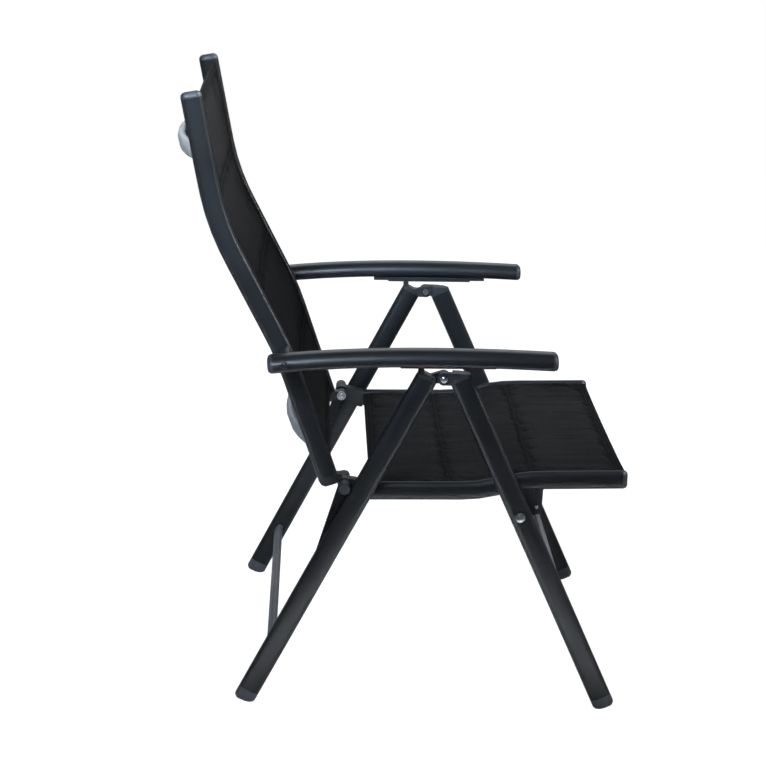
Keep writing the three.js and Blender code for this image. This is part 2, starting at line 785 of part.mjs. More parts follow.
// Back side tubes with caps above and hinge plugs below
const backSide = sideCurve(backPoints, back_plane);
const backTube = sweep(ovalTube(back_thick, back_depth, frame_wall), backSide, stepsFor(backSide));
addPair('back_tube', cut(backTube, disc(armPivot, arm_pin + pin_play, back_plane, backOuter + cut_over)),
  frame_paint);
const backProfile = (inset) => ovalPoints(back_thick - 2 * inset, back_depth - 2 * inset);
addPair('back_top_cap',
  endCap(station(backCurve, backCurve.getLength()), backProfile, frame_wall, cap_rim, cap_round, back_plane),
  plastic);

const back_plug_length = 16;
const back_plug_corner = 10;
function backHingePlug() {
  const foot = station(backCurve, 0);
  const edge = (ahead, across) => {
    const p = foot.at.clone().addScaledVector(foot.along, ahead).addScaledVector(foot.up, across);
    return [p.x, p.z];
  };
  const [h, deep, corner] = [back_depth / 2, back_plug_length, back_plug_corner];
  const body = plate(outline([
    edge(-seat_gap, h), edge(-deep + corner, h), edge(-deep + corner / 3, h - corner / 3),
    edge(-deep, h - corner), edge(-deep, -h), edge(-seat_gap, -h),
  ]), backInner, backOuter);
  const below = new THREE.LineCurve3(
    foot.at.clone().addScaledVector(foot.along, -deep * 2).setY(back_plane),
    foot.at.clone().addScaledVector(foot.along, -seat_gap).setY(back_plane),
  );
  const prism = sweep(section(ovalPoints(back_thick, back_depth)), below, 1);
  const lug = plate(outline([
    edge(-seat_gap, -h + back_boss / 2), edge(-deep, -h + back_boss / 2),
    ...arc(backHinge, back_boss, back_lug_angle - half_turn, back_lug_angle, eye_facets),
    edge(-seat_gap, -h - seat_gap),
  ]), backInner + bracket_inset, backOuter - bracket_inset);
  const collar = disc(backHinge, back_boss - back_collar_step, back_plane, seatInner - seat_gap);
  const upper = spigot(turnedRound(foot), back_thick, back_depth, frame_wall, back_plane);
  const whole = join(common(body, prism), lug, collar, upper);
  return cut(whole, disc(backHinge, back_pin + pin_play, backInner - cut_over, seatOuter + cut_over));
}
addPair('back_hinge_plug', backHingePlug(), plastic);
add('back_crossbar_lower',
  bowedBar(backCurve, back_bar_lower_reach, back_bar_bow, back_bar_drop, backInner, 1), bar_paint);
add('back_crossbar_upper',
  bowedBar(backCurve, back_bar_upper_reach, back_bar_bow, back_bar_drop, backInner, 1), bar_paint);
add('back_sling',
  quilt(backCurve, back_cloth_start, back_cloth_end, backInner, back_seam_shares, -1), cloth);

// Back hinge: bolt from the inside, roller outside resting on the rear leg
const plugFace = backInner + bracket_inset;
const shank_in = 10;
addPair('back_hinge_bolt', turned(backHinge, [
  [0, plugFace - head_height - washer_height],
  [head_radius - head_bevel, plugFace - head_height - washer_height],
  [head_radius, plugFace - head_height], [head_radius, plugFace - seat_gap - washer_height],
  [washer_radius, plugFace - seat_gap - washer_height], [washer_radius, plugFace - seat_gap],
  [back_pin, plugFace - seat_gap], [back_pin, legInner + shank_in], [0, legInner + shank_in],
]), bright_steel);
addPair('hinge_roller', turned(backHinge, [
  [0, legInner + shank_in + seat_gap], [back_pin + pin_play, legInner + shank_in + seat_gap],
  [back_pin + pin_play, linkOuter + seat_gap * 2], [roller_radius, linkOuter + seat_gap * 2],
  [roller_radius, legOuter - roller_bevel], [roller_radius - roller_bevel, legOuter + seat_gap],
  [0, legOuter + seat_gap],
], hole_sides), plastic);

// Links from the back hinge to the rear legs, each with a flush pin
function link() {
  const run = new THREE.Vector2().subVectors(linkPivot, backHinge);
  const turn = (run.angle() * half_turn) / Math.PI;
  const r = link_width / 2;
  const shape = outline([
    ...arc(backHinge, r, turn + upright, turn + half_turn + upright, eye_facets),
    ...arc(linkPivot, r, turn - upright, turn + upright, eye_facets),
  ]);
  const strip = plate(shape, linkInner, linkOuter);
  return cut(strip, disc(backHinge, back_pin + pin_play, linkInner - cut_over, linkOuter + cut_over),
    disc(linkPivot, link_pin + pin_play, linkInner - cut_over, linkOuter + cut_over));
}
addPair('link', link(), dark_steel);
addPair('link_pin', disc(linkPivot, link_pin, linkInner, linkOuter + seat_gap), bright_steel);

// Armrests: arched hollow tubes with a cap at each end
const armProfile = (inset) =>
  armPoints(arm_width - 2 * inset, arm_height - 2 * inset, Math.max(arm_corner - inset, seat_gap));
const armSide = armCurve(arm_plane);
const overturned = (points) => points.map((p) => p.clone().negate());
const armSection = section(overturned(armProfile(0)), overturned(armProfile(arm_wall)));
const armTube = sweep(armSection, armSide, arm_steps);
const armHole = disc(armPivot, arm_pin + pin_play, armInner - cut_over, armOuter + cut_over);
addPair('arm', cut(armTube, armHole), frame_paint);
const armCap = (place) =>
  endCap(place, armProfile, arm_wall, arm_cap_rim, arm_cap_round, arm_plane, arm_spigot_length);
const armLine = armCurve(0);
addPair('arm_front_cap', armCap(station(armLine, armLine.getLength())), plastic);
addPair('arm_rear_cap', armCap(turnedRound(station(armLine, 0))), plastic);

// Notched rack: a channel whose teeth sit between two walls
function rack() {
  const strip_points = 10;
  const top = [];
  for (let i = 0; i <= strip_points; i++) {
    const x = rack_front_x + ((rack_rear_x - rack_front_x) * i) / strip_points;
    top.push([x, armUnderside(x) - seat_gap]);
  }
  const [tabRear, tabFront] = [rack_rear_x + rack_tab_length, rack_front_x - rack_tab_length];
  const lift = (x) => rackLow(x) + rack_tab_rise;
  const body = plate(outline([
    ...top, [rack_rear_x, lift(rack_rear_x)], [tabRear - rack_tab_rise, lift(tabRear)],
    [tabRear, rackLow(tabRear)], [tabFront, rackLow(tabFront)], [tabFront + rack_tab_rise, lift(tabFront)],
    [rack_front_x, lift(rack_front_x)],
  ]), rack_plane - rack_width / 2, rack_plane + rack_width / 2);
  const first = catch_x - (notch_in_use - 1) * notch_pitch;
  const teeth = [];
  for (let i = 0; i < notch_count; i++) {
    const x = first + i * notch_pitch;
    const tip = toothTip(x);
    if (i === 0) teeth.push([x - notch_width, tip - cut_over], [x - notch_width / 2, tip]);
    else teeth.push([x - notch_width / 2, tip]);
    teeth.push([x - notch_width / 4, tip + notch_depth], [x + notch_width / 4, tip + notch_depth]);
    teeth.push([x + notch_width / 2, tip]);
    if (i === notch_count - 1) teeth.push([x + notch_width, tip - cut_over]);
  }
  const well = plate(outline(teeth), rack_plane - rack_width / 2 + rack_wall,
    rack_plane + rack_width / 2 - rack_wall);
  return cut(body, well);
}
addPair('arm_rack', rack(), rack_plastic);

// Armrest pivot: rivet from the outside and a spacer to the back tube
addPair('arm_pivot_bolt', turned(armPivot, [
  [0, back_plane - head_height], [arm_pin, back_plane - head_height], [arm_pin, armOuter + seat_gap],
  [smallHead, armOuter + seat_gap], [smallHead, armOuter + head_height / 2],
  [smallHead - small_head_bevel, armOuter + head_height - seat_gap], [0, armOuter + head_height - seat_gap],
]), bright_steel);
addPair('arm_spacer', turned(armPivot, [
  [arm_pin + pin_play, backOuter + seat_gap], [arm_spacer_radius, backOuter + seat_gap],
  [arm_spacer_radius, armInner - seat_gap], [arm_pin + pin_play, armInner - seat_gap],
  [arm_pin + pin_play, backOuter + seat_gap],
], hole_sides), plastic);

// The chair stands centred on its length
const box = new THREE.Box3().setFromObject(chair);
chair.position.x = -(box.min.x + box.max.x) / 2;

export default chair;
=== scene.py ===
import math

import bpy
import bmesh
import numpy as np
from mathutils import Matrix, Vector


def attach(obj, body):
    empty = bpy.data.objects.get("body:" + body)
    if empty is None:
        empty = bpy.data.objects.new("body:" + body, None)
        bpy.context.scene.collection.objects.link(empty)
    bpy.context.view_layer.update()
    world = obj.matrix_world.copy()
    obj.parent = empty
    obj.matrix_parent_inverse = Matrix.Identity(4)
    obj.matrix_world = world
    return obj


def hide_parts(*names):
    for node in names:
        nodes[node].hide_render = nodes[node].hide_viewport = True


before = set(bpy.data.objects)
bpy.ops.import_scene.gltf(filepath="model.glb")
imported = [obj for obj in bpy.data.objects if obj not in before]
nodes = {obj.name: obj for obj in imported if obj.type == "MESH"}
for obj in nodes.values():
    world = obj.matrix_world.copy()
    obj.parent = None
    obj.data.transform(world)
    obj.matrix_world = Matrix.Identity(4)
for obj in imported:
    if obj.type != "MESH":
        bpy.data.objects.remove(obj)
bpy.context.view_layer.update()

# Row frame: metres, X forward, Y to the sitter's left, Z up from the floor.
mm = 0.001
# The solids are drawn about the fold hinge and then moved forward by this much, in millimetres.
centre_shift = 61.882
sides = {"left": 1, "right": -1}


# Camera at the photograph's viewpoint, from a fit
picture_width = 766
focal_pixels = 1651.81
sensor_width = 36
camera_place = (-0.16673, -2.84752, 1.49531)


def make_camera():
    right = Vector((0.998457, -0.034378, 0.043609))
    down = Vector((0.029933, -0.328269, -0.944110))
    forward = Vector((0.046772, 0.943958, -0.326734))
    data = bpy.data.cameras.new("camera")
    data.sensor_width = sensor_width
    data.lens = focal_pixels / picture_width * sensor_width
    data.clip_end = 200
    camera = bpy.data.objects.new("camera", data)
    turn = Matrix((right, -down, -forward)).transposed().to_4x4()
    camera.matrix_world = Matrix.Translation(camera_place) @ turn
    bpy.context.scene.collection.objects.link(camera)
    bpy.context.scene.camera = camera


make_camera()
bpy.context.scene.view_settings.view_transform = "Standard"


# Node material helpers
class Look:
    """A Principled material whose patterns are read in the object's own coordinates."""

    def __init__(self, name, **values):
        self.material = bpy.data.materials.new(name)
        self.material.use_nodes = True
        self.tree = self.material.node_tree
        self.shader = self.tree.nodes["Principled BSDF"]
        for key, value in values.items():
            self.shader.inputs[key.replace("_", " ")].default_value = value
        self.place = self.node("ShaderNodeTexCoord").outputs["Object"]

    def node(self, kind, **settings):
        made = self.tree.nodes.new(kind)
        for key, value in settings.items():
            setattr(made, key, value)
        return made

    def link(self, a, b):
        self.tree.links.new(a, b)

    def scaled(self, scale, source=None):
        mapping = self.node("ShaderNodeMapping")
        mapping.inputs["Scale"].default_value = scale
        self.link(source or self.place, mapping.inputs["Vector"])
        return mapping.outputs["Vector"]

    def noise(self, scale, detail=3.0, rough=0.55, source=None):
        made = self.node("ShaderNodeTexNoise")
        made.inputs["Scale"].default_value = scale
        made.inputs["Detail"].default_value = detail
        made.inputs["Roughness"].default_value = rough
        self.link(source or self.place, made.inputs["Vector"])
        return made.outputs["Fac"]

    def spread(self, value, low, high, to_low, to_high):
        made = self.node("ShaderNodeMapRange", clamp=True)
        limits = {"From Min": low, "From Max": high, "To Min": to_low, "To Max": to_high}
        for key, number in limits.items():
            made.inputs[key].default_value = number
        self.link(value, made.inputs["Value"])
        return made.outputs["Result"]

    def maths(self, operation, a, b):
        made = self.node("ShaderNodeMath", operation=operation)
        for k, v in enumerate((a, b)):
            if isinstance(v, (int, float)):
                made.inputs[k].default_value = v
            else:
                self.link(v, made.inputs[k])
        return made.outputs["Value"]

    def colours(self, value, a, b):
        made = self.node("ShaderNodeMix", data_type="RGBA")
        made.inputs["A"].default_value = (*a, 1)
        made.inputs["B"].default_value = (*b, 1)
        self.link(value, made.inputs["Factor"])
        return made.outputs["Result"]

    def blend_in(self, value, first, colour):
        made = self.node("ShaderNodeMix", data_type="RGBA")
        self.link(first, made.inputs["A"])
        made.inputs["B"].default_value = (*colour, 1)
        self.link(value, made.inputs["Factor"])
        return made.outputs["Result"]

    def colour(self, socket):
        self.link(socket, self.shader.inputs["Base Color"])

    def rough(self, socket):
        self.link(socket, self.shader.inputs["Roughness"])

    def bump(self, height, strength, distance):
        made = self.node("ShaderNodeBump")
        made.inputs["Strength"].default_value = strength
        made.inputs["Distance"].default_value = distance
        self.link(height, made.inputs["Height"])
        self.link(made.outputs["Normal"], self.shader.inputs["Normal"])


def powder_coat(name, colour, lighter, rough=(0.38, 0.5)):
    look = Look(name, Specular_IOR_Level=0.35)
    cloud = look.noise(9, 4)
    speck = look.noise(1400, 2)
    tone = look.colours(look.spread(cloud, 0.35, 0.65, 0, 1), colour, lighter)
    rub = look.spread(look.noise(55, 6, 0.7), 0.66, 0.78, 0, 0.35)
    tone = look.blend_in(rub, tone, tuple(min(1, c * 1.5 + 0.01) for c in lighter))
    look.colour(tone)
    look.rough(look.spread(look.noise(30, 4), 0.3, 0.7, *rough))
    look.bump(speck, 0.35, 0.00012)
    return look.material


def moulded(name, colour, lighter, rough=(0.45, 0.6), grain=900):
    look = Look(name, Specular_IOR_Level=0.4)
    tone = look.colours(look.spread(look.noise(40, 4), 0.35, 0.65, 0, 1), colour, lighter)
    look.colour(tone)
    look.rough(look.spread(look.noise(120, 3), 0.3, 0.7, *rough))
    look.bump(look.noise(grain, 2), 0.4, 0.00015)
    return look.material


def metal(name, colour, darker, rough=(0.2, 0.36)):
    look = Look(name, Metallic=1.0)
    brushed = look.noise(1, 4, 0.6, look.scaled((300, 60, 300)))
    tone = look.colours(look.spread(look.noise(260, 5), 0.35, 0.7, 0, 1), colour, darker)
    look.colour(tone)
    look.rough(look.spread(brushed, 0.3, 0.7, *rough))
    look.bump(brushed, 0.15, 0.00006)
    return look.material


def rack_look(name):
    """Black plastic with a dark red-brown strip along the middle of its outer face."""
    look = Look(name, Specular_IOR_Level=0.4)
    split = look.node("ShaderNodeSeparateXYZ")
    look.link(look.place, split.inputs["Vector"])
    aside = look.maths("ABSOLUTE", split.outputs["Y"], 0)
    front_edge = look.spread(split.outputs["X"], 0.1465, 0.1483, 1, 0)
    rear_edge = look.spread(split.outputs["X"], -0.0100, -0.0082, 0, 1)
    outside = look.spread(aside, 0.2712, 0.2718, 0, 1)
    strip = look.maths("MULTIPLY", look.maths("MULTIPLY", front_edge, rear_edge), outside)
    black = look.colours(look.noise(60, 3), (0.006, 0.006, 0.007), (0.014, 0.014, 0.016))
    brown = look.colours(look.noise(60, 3), (0.06, 0.011, 0.006), (0.1, 0.02, 0.011))
    mixed = look.node("ShaderNodeMix", data_type="RGBA")
    look.link(strip, mixed.inputs["Factor"])
    look.link(black, mixed.inputs["A"])
    look.link(brown, mixed.inputs["B"])
    look.colour(mixed.outputs["Result"])
    look.rough(look.spread(look.noise(150, 3), 0.3, 0.7, 0.4, 0.58))
    look.bump(look.noise(900, 2), 0.35, 0.00015)
    return look.material


def woven(name, dark, light, weave=0.0011):
    """Textilene: a plain weave of coated yarn, streaked along the cloth, with painted shade
    darkening it beside its seams.
    """
    look = Look(name, Specular_IOR_Level=0.04, Sheen_Weight=0.008, Sheen_Roughness=0.5)
    look.shader.inputs["Sheen Tint"].default_value = (0.85, 0.88, 0.95, 1)
    flat = look.node("ShaderNodeUVMap", uv_map="Cloth").outputs["UV"]
    fine = look.noise(1, 3, 0.6, look.scaled((330, 14, 1), flat))
    broad = look.noise(1, 4, 0.65, look.scaled((95, 3.5, 1), flat))
    across = look.noise(1, 3, 0.6, look.scaled((20, 260, 1), flat))
    streak = look.maths("MULTIPLY", across, 0.15)
    for part, share in ((broad, 0.4), (fine, 0.45)):
        streak = look.maths("ADD", look.maths("MULTIPLY", part, share), streak)
    tone = look.colours(look.spread(streak, 0.41, 0.6, 0, 1), dark, light)
    split = look.node("ShaderNodeSeparateXYZ")
    look.link(flat, split.inputs["Vector"])
    turn = 2 * math.pi / weave
    warp = look.maths("SINE", look.maths("MULTIPLY", split.outputs["X"], turn), 0)
    weft = look.maths("SINE", look.maths("MULTIPLY", split.outputs["Y"], turn), 0)
    ridge = look.spread(look.maths("MULTIPLY", warp, weft), -1, 1, 0, 1)
    shaded = look.blend_in(look.spread(ridge, 0.0, 0.4, 0.5, 0), tone, (0.001, 0.001, 0.001))
    # Painted shade: the cloth colour darkens towards near black beside each sewn line, where the
    # quilting's creases would be shaded
    seam_shade_mask = look.node("ShaderNodeAttribute", attribute_name="painted_seam_shade").outputs["Fac"]
    seam_shade_amount = look.maths("MULTIPLY", seam_shade_mask, 0.85)
    shaded = look.blend_in(seam_shade_amount, shaded, (0.0008, 0.0008, 0.0008))
    look.colour(shaded)
    look.rough(look.spread(fine, 0.3, 0.7, 0.75, 0.95))
    yarns = look.maths("ADD", ridge, look.maths("MULTIPLY", fine, 1.6))
    look.bump(yarns, 0.6, 0.00035)
    return look.material


# Each look has its darkest and its lightest colour, and some have the limits of their roughness.
paint = powder_coat("frame_paint", (0.0072, 0.0078, 0.009), (0.0102, 0.011, 0.0126), (0.33, 0.4))
# One bar finish in four brightnesses, set bar by bar as light falls on it: painted sheen on the
# upper back bar, painted shade of three depths on the other bars
bar_painted_sheen = powder_coat("bar_painted_sheen", (0.24, 0.235, 0.23), (0.29, 0.283, 0.275))
bar_painted_mid_shade = powder_coat("bar_painted_mid_shade", (0.1, 0.1, 0.107), (0.13, 0.132, 0.14))
bar_painted_light_shade = powder_coat("bar_painted_light_shade", (0.17, 0.17, 0.175), (0.21, 0.21, 0.215))
bar_painted_deep_shade = powder_coat("bar_painted_deep_shade", (0.075, 0.077, 0.083), (0.098, 0.1, 0.108))
black_plastic = moulded("black_plastic", (0.0085, 0.009, 0.0105), (0.015, 0.016, 0.018))
plug_plastic = moulded("plug_plastic", (0.014, 0.0165, 0.02), (0.021, 0.024, 0.028))
cap_plastic = moulded("cap_plastic", (0.017, 0.02, 0.026), (0.026, 0.031, 0.038))
# Foot caps coloured much lighter than the frame so that they match the light the floor throws on
# the leg ends: painted light
foot_plastic_painted_light = moulded("foot_plastic_painted_light", (0.06, 0.065, 0.073), (0.08, 0.086, 0.096))
grey_plastic = moulded("grey_plastic", (0.007, 0.0072, 0.0078), (0.012, 0.0125, 0.0135))
roller_plastic = moulded("roller_plastic", (0.02, 0.0205, 0.022), (0.032, 0.033, 0.035))
spacer_plastic = moulded("spacer_plastic", (0.004, 0.0045, 0.0055), (0.007, 0.008, 0.009))
rack_plastic = rack_look("rack_plastic")
bright_steel = metal("bright_steel", (0.62, 0.64, 0.66), (0.42, 0.44, 0.46))
dark_steel = metal("dark_steel", (0.02, 0.021, 0.023), (0.035, 0.036, 0.039), (0.4, 0.55))
cloth_top = woven("cloth", (0.002, 0.0019, 0.0018), (0.0125, 0.0121, 0.0119))
thread = moulded("thread", (0.0022, 0.0022, 0.0022), (0.005, 0.005, 0.005), (0.75, 0.9), 1500)

# Solids by look; a left and right pair share their stem
looks = {stem: look for look, stems in (
    (paint, ("front_leg", "rear_leg", "seat_tube", "back_tube", "arm", "arm_pivot_bolt")),
    (foot_plastic_painted_light, ("front_foot", "rear_foot")),
    (cap_plastic, ("seat_front_cap", "back_top_cap", "arm_front_cap", "arm_rear_cap")),
    (plug_plastic, ("front_hinge_plug",)),
    (black_plastic, ("rear_hinge_plug", "back_hinge_plug", "seat_pivot_bracket")),
    (grey_plastic, ("seat_rear_bracket",)),
    (roller_plastic, ("hinge_roller",)),
    (spacer_plastic, ("arm_spacer",)),
    (rack_plastic, ("arm_rack",)),
    (bright_steel, ("hinge_bolt", "seat_pivot_bolt", "back_hinge_bolt", "link_pin")),
    (dark_steel, ("link",)),
    # The bars share one finish; their differing brightness is painted sheen and painted shade
    (bar_painted_deep_shade, ("front_stretcher", "seat_crossbar_front", "seat_crossbar_rear")),
    (bar_painted_mid_shade, ("rear_stretcher",)),
    (bar_painted_light_shade, ("back_crossbar_lower",)),
    (bar_painted_sheen, ("back_crossbar_upper",)),
) for stem in stems}


# Smooth shading over round parts, sharp where faces meet at more than an angle
weld_distance = 1e-5


def smoothing(name, degrees):
    tree = bpy.data.node_groups.new(name, "GeometryNodeTree")
    tree.interface.new_socket("Geometry", in_out="INPUT", socket_type="NodeSocketGeometry")
    tree.interface.new_socket("Geometry", in_out="OUTPUT", socket_type="NodeSocketGeometry")
    n, wire = tree.nodes, tree.links.new
    start, end = n.new("NodeGroupInput"), n.new("NodeGroupOutput")
    merge = n.new("GeometryNodeMergeByDistance")
    merge.inputs["Distance"].default_value = weld_distance
    bare = n.new("GeometryNodeRemoveAttribute")
    bare.inputs["Name"].default_value = "custom_normal"
    angle = n.new("GeometryNodeInputMeshEdgeAngle")
    over = n.new("FunctionNodeCompare")
    over.data_type, over.operation = "FLOAT", "GREATER_THAN"
    over.inputs[1].default_value = math.radians(degrees)
    faces = n.new("GeometryNodeSetShadeSmooth")
    faces.domain = "FACE"
    edges = n.new("GeometryNodeSetShadeSmooth")
    edges.domain = "EDGE"
    edges.inputs["Shade Smooth"].default_value = False
    wire(start.outputs[0], merge.inputs["Geometry"])
    wire(merge.outputs["Geometry"], bare.inputs["Geometry"])
    wire(bare.outputs["Geometry"], faces.inputs["Geometry"])
    wire(faces.outputs["Geometry"], edges.inputs["Geometry"])
    wire(angle.outputs["Unsigned Angle"], over.inputs[0])
    wire(over.outputs["Result"], edges.inputs["Selection"])
    wire(edges.outputs["Geometry"], end.inputs[0])
    return tree


round_tubes = smoothing("round_tubes", 52)
plates = smoothing("plates", 33)
tube_names = ("leg", "tube", "arm", "foot", "cap", "stretcher", "crossbar_rear", "crossbar_front",
              "crossbar_lower", "crossbar_upper", "roller", "spacer", "bolt", "pin")

for node_name, obj in nodes.items():
    stem = node_name.removesuffix("_left").removesuffix("_right")
    if stem in looks:
        obj.data.materials.clear()
        obj.data.materials.append(looks[stem])
        made = obj.modifiers.new("smooth", "NODES")
        made.node_group = round_tubes if stem.endswith(tube_names) else plates


# Side-view centre lines of the seat and back tubes, in millimetres and degrees
class Side:
    """Centripetal Catmull-Rom line along stretches of (length, slope from, slope to)."""

    step = 32.0
    samples = 40
    probe = 4

    def __init__(self, x, z, stretches):
        pts = [np.array((x + centre_shift, z))]
        for length, a, b in stretches:
            count = max(1, math.floor(length / self.step + 0.5))
            for i in range(count):
                slope = math.radians(a + (b - a) * (i + 0.5) / count)
                ahead = np.array((math.cos(slope), math.sin(slope)))
                pts.append(pts[-1] + length / count * ahead)
        ends = [2 * pts[0] - pts[1], *pts, 2 * pts[-1] - pts[-2]]
        line = []
        for i in range(1, len(ends) - 2):
            p0, p1, p2, p3 = ends[i - 1:i + 3]
            d0, d1, d2 = (math.sqrt(np.linalg.norm(b - a))
                          for a, b in ((p0, p1), (p1, p2), (p2, p3)))
            t1 = ((p1 - p0) / d0 - (p2 - p0) / (d0 + d1) + (p2 - p1) / d1) * d1
            t2 = ((p2 - p1) / d1 - (p3 - p1) / (d1 + d2) + (p3 - p2) / d2) * d1
            w = np.linspace(0, 1, self.samples, endpoint=False)[:, None]
            line.append(p1 + t1 * w + (3 * (p2 - p1) - 2 * t1 - t2) * w ** 2
                        + (2 * (p1 - p2) + t1 + t2) * w ** 3)
        self.line = np.vstack([*line, pts[-1][None]])
        lengths = np.linalg.norm(np.diff(self.line, axis=0), axis=1)
        self.reach = np.concatenate([[0], np.cumsum(lengths)])

    def at(self, reach):
        """Point, direction along and direction up at a reach, also past the ends."""
        within = min(max(reach, 0.0), self.reach[-1])
        p, a, b = (np.array([np.interp(within + e, self.reach, self.line[:, k]) for k in (0, 1)])
                   for e in (0, -self.probe, self.probe))
        t = (b - a) / np.linalg.norm(b - a)
        return p + t * (reach - within), t, np.array((-t[1], t[0]))


seat_side = Side(-114.977, 396.477, [
    (160, 1.6, 1.6), (67, 1.6, 18), (67, 18, 2.2), (142, 2.2, 2.2),
])
back_side = Side(-186.477, 411.977, [
    (195, 109.8, 109.8), (70, 109.8, 118), (155, 118, 118), (120, 118, 101.5), (147, 101.5, 101.5),
])


def mesh_object(name, points, faces, body, look):
    """Smooth-shaded mesh in metres; it rides on a body where one is named."""
    mesh = bpy.data.meshes.new(name)
    mesh.from_pydata([tuple(p) for p in points], [], faces)
    mesh.validate()
    mesh.polygons.foreach_set("use_smooth", [True] * len(mesh.polygons))
    mesh.materials.append(look)
    obj = bpy.data.objects.new(name, mesh)
    bpy.context.scene.collection.objects.link(obj)
    if body:
        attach(obj, body)
    return obj


